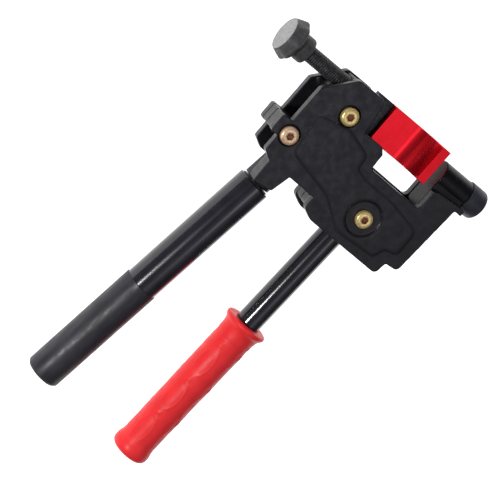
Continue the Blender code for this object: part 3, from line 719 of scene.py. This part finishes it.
# %% Lever and grip
GRIP_START = 114.3
GRIP_END = 247.2
OVAL_STEP = 34.0
OVAL_HALF = (6.0, 13.4)
OVALS_ROUND = 4
OVAL_TURN = math.radians(132)
STAR_START = 137.0
PATTERN_RADIUS = 14.0
RIM_HEIGHT = 0.17
STAR_HEIGHT = 0.55
lever = leaning(LEVER_START, LEVER_TILT)
tube = [(7.95, 22.0), (9.5, 22.0), (9.75, 22.25), (9.75, 241.2), (7.95, 241.2)]
stand_in(turned("lever_tube", fine_steps(tube, 12), lever, gloss_black), "lever_handle_tube")


def ridge(distance, width):
    """Soft ridge, 1 on its line and 0 beyond its width."""
    return max(0.0, 1.0 - (distance / width) ** 2)


def grip_pattern(radius, height, angle):
    """Raised ovals and stars on the outside of the grip."""
    if radius < 11.5 or not GRIP_START + 18 < height < GRIP_END - 16:
        return radius
    sector = 2 * math.pi / OVALS_ROUND
    across = ((angle - OVAL_TURN + sector / 2) % sector - sector / 2) * PATTERN_RADIUS
    along = (height - STAR_START) % OVAL_STEP
    along = min(along, OVAL_STEP - along)
    oval = math.hypot(across / OVAL_HALF[0], (OVAL_STEP / 2 - along) / OVAL_HALF[1])
    rim = ridge(abs(oval - 1.0), 0.10)
    arm = min(abs(across), abs(along), abs(abs(across) - abs(along)) * 0.7)
    star = ridge(arm, 0.8) * ridge(math.hypot(across, along), 4.0)
    return radius + RIM_HEIGHT * rim + STAR_HEIGHT * star


grip_line = [(10.0, 114.3), (16.4, 114.3), (17.1, 114.7), (17.45, 115.6), (17.4, 116.8), (16.7, 118.0)]
grip_line += [(15.6, 119.4), (14.9, 121.6), (14.45, 124.2), (14.3, 129.0), (13.95, 130.2), (14.1, 140.0)]
grip_line += [(14.0, 174.0), (13.8, 220.0), (13.9, 233.0), (14.2, 236.4), (14.9, 239.0), (15.2, 241.2)]
grip_line += [(15.15, 243.6), (14.6, 245.6), (13.2, 246.8), (11.0, 247.2), (0, 247.2), (0, 242.2)]
grip_line += [(10.0, 242.2)]
fine = 0.7
grip = turned("red_grip", fine_steps(grip_line, fine), lever, red_vinyl, 160, grip_pattern, 60)
stand_in(grip, "red_handle_grip")

# %% [markdown]
# ## Adjusting screw
#
# It is an M12 with its usual 1.75 mm pitch and worn crests, so one turn of the knob moves the die by
# 1.75 mm. The thread is a ridge that climbs one pitch each turn: a point's radius depends on its height
# minus the height the ridge has reached at its angle.

# %% Adjusting screw
PITCH = 1.75
THREAD_DEPTH = 0.42
THREAD_FROM = -75.0
THREAD_TO = -16.0


def thread(radius, height, angle):
    """Triangular ridge that climbs a pitch each turn, fading at both ends."""
    if radius < 5.9:
        return radius
    phase = (height / PITCH - angle / (2 * math.pi)) % 1.0
    depth = abs(phase - 0.5) * 2
    fade = min(1.0, max(0.0, (height - THREAD_FROM) / 1.5), max(0.0, (THREAD_TO - height) / 1.5))
    return radius - THREAD_DEPTH * fade * depth


core = [(0, -82.0), (5.2, -82.0), (5.2, -76.2), (6.0, -76.0), (6.0, -15.2), (5.0, -14.0), (5.0, -11.2)]
core += [(3.1, -11.2), (3.1, -8.0), (5.0, -8.0), (5.0, -6.6), (4.4, -6.0), (0, -6.0)]
fine = 0.25
screw = turned("threaded_screw", fine_steps(core, fine), along_x(0, SCREW_Y), rough_steel, 40, thread, 80)
stand_in(screw, "adjusting_screw")

# %% [markdown]
# ## Knob
#
# The knob flares from a flat face to a rim with eight shallow lobes for the fingers, and ends in a hub. The
# lobes grow with the radius, so the face stays round. The face gets a second, paler material: painted
# light, for the light that falls on the face.

# %% Knob
KNOB_FACE_X = -89.0
LOBES = 8
LOBE_DEPTH = 0.5


def lobes(radius, height, angle):
    """Shallow finger lobes that grow towards the knob's rim."""
    grow = max(0.0, min(1.0, (radius - 12.2) / 2.8))
    return radius - LOBE_DEPTH * grow * (1 - math.cos(LOBES * angle))


knob_line = [(0, 0), (11.6, 0), (12.3, 0.2), (12.7, 0.8), (13.4, 2.6), (14.2, 4.6), (14.9, 6.8)]
knob_line += [(15.3, 7.8), (15.4, 8.6), (15.1, 9.5), (14.3, 10.1), (10.6, 10.5), (9.6, 10.7)]
knob_line += [(9.6, 20.2), (9.3, 20.9), (8.7, 21.2), (6.3, 21.2), (6.3, 6.4), (0, 6.4)]
knob = turned("lobed_knob", fine_steps(knob_line, 1.0), along_x(KNOB_FACE_X, SCREW_Y), knob_black, 128, lobes)
# painted light: the faces on the knob's front take the paler second material
knob.data.materials.append(knob_face)
face_edge = DATUM.x + (KNOB_FACE_X + 0.15) * MM
for face in knob.data.polygons:
    if face.center.x < face_edge:
        face.material_index = 1
stand_in(knob, "adjusting_knob")

# %% [markdown]
# ## Anvil cap
#
# The round bar of the anvil ends in a screwed-in cap, a little wider than the bar. It is turned, with a
# small radius at its near edge, which catches the light, and a larger one round its end.

# %% Anvil cap
CAP_PLACE = (97.8, 37.5)
cap = [(0, -18.0), (3.9, -18.0), (3.9, 0), (10.9, 0), (11.5, 0.3), (11.7, 0.9), (11.7, 12.6)]
cap += [(11.5, 13.8), (10.8, 14.8), (9.7, 15.5), (0, 15.5)]
stand_in(turned("anvil_cap", cap, along_x(*CAP_PLACE), cap_black), "anvil_end_cap")

# %% [markdown]
# ## Forming die
#
# The die is milled from a bar of one section: a flat base, a large inside radius and an upright wall.
# Such a piece is its section, extruded. The radius is drawn in many short steps here, because polished
# metal shows every facet in its reflections, and then all long and short edges get a small bevel.

# %% Forming die
DIE_X = (10.6, 58.0)
DIE_Y = (25.8, 54.8)
DIE_Z = (-9.0, 0.0, 16.6)
DIE_RADIUS = 17.0
DIE_WALL = 7.6
DIE_LIP = (2.7, -16.5)
RADIUS_STEPS = 60
DIE_EDGE = 0.35


def die_section():
    """The die's section as (x, z) points, from its inner lower corner."""
    left, right = DIE_X
    bottom, floor, top = DIE_Z
    middle = right - DIE_WALL - DIE_RADIUS
    points = [(left, bottom), (left, floor)]
    sweep = math.acos((DIE_RADIUS - top) / DIE_RADIUS)
    for i in range(RADIUS_STEPS + 1):
        angle = sweep * i / RADIUS_STEPS
        rise = DIE_RADIUS * (1 - math.cos(angle))
        points.append((middle + DIE_RADIUS * math.sin(angle), floor + rise))
    lip_width, lip_bottom = DIE_LIP
    points += [(right, top), (right, lip_bottom)]
    points += [(right - lip_width, lip_bottom), (right - lip_width, bottom)]
    return points


bm = bmesh.new()
near = [bm.verts.new((x, DIE_Y[0], z)) for x, z in die_section()]
far = [bm.verts.new((x, DIE_Y[1], z)) for x, z in die_section()]
bm.faces.new(near)
bm.faces.new(list(reversed(far)))
for i in range(len(near)):
    j = (i + 1) % len(near)
    bm.faces.new((near[i], near[j], far[j], far[i]))
die = from_bmesh("anodised_die", bm, Matrix.Identity(4), red_anodised, 20)
soften(die, DIE_EDGE, 25)
stand_in(die, "red_forming_die")

# %% [markdown]
# ## Inner parts
#
# The parts inside the housings already have the right shape in the imported model. They keep it, and get
# broken edges by a bevel modifier, which changes no packed point, and a finish of their own. The spigot is
# bright steel, but gets the blackened finish: painted shade, for the dark shadow line where the tube steps
# down from the neck.

# %% Carried over parts
finish_of = {
    "black_gloss": gloss_black,
    "bright_steel": bright_steel,
    "dark_steel": dark_steel,
}
# painted shade: the spigot is bright steel, but takes the blackened finish for the shadow line at the neck
PAINTED_SHADE_NODES = ("handle_spigot",)
BROKEN_EDGE = 0.15
for name, node in frame["nodes"].items():
    if node.hide_render:
        continue
    node.data.materials.clear()
    node.data.materials.append(finish_of["dark_steel" if name in PAINTED_SHADE_NODES else slot_of[name]])
    soften(node, BROKEN_EDGE)
    print("carried over:", name)
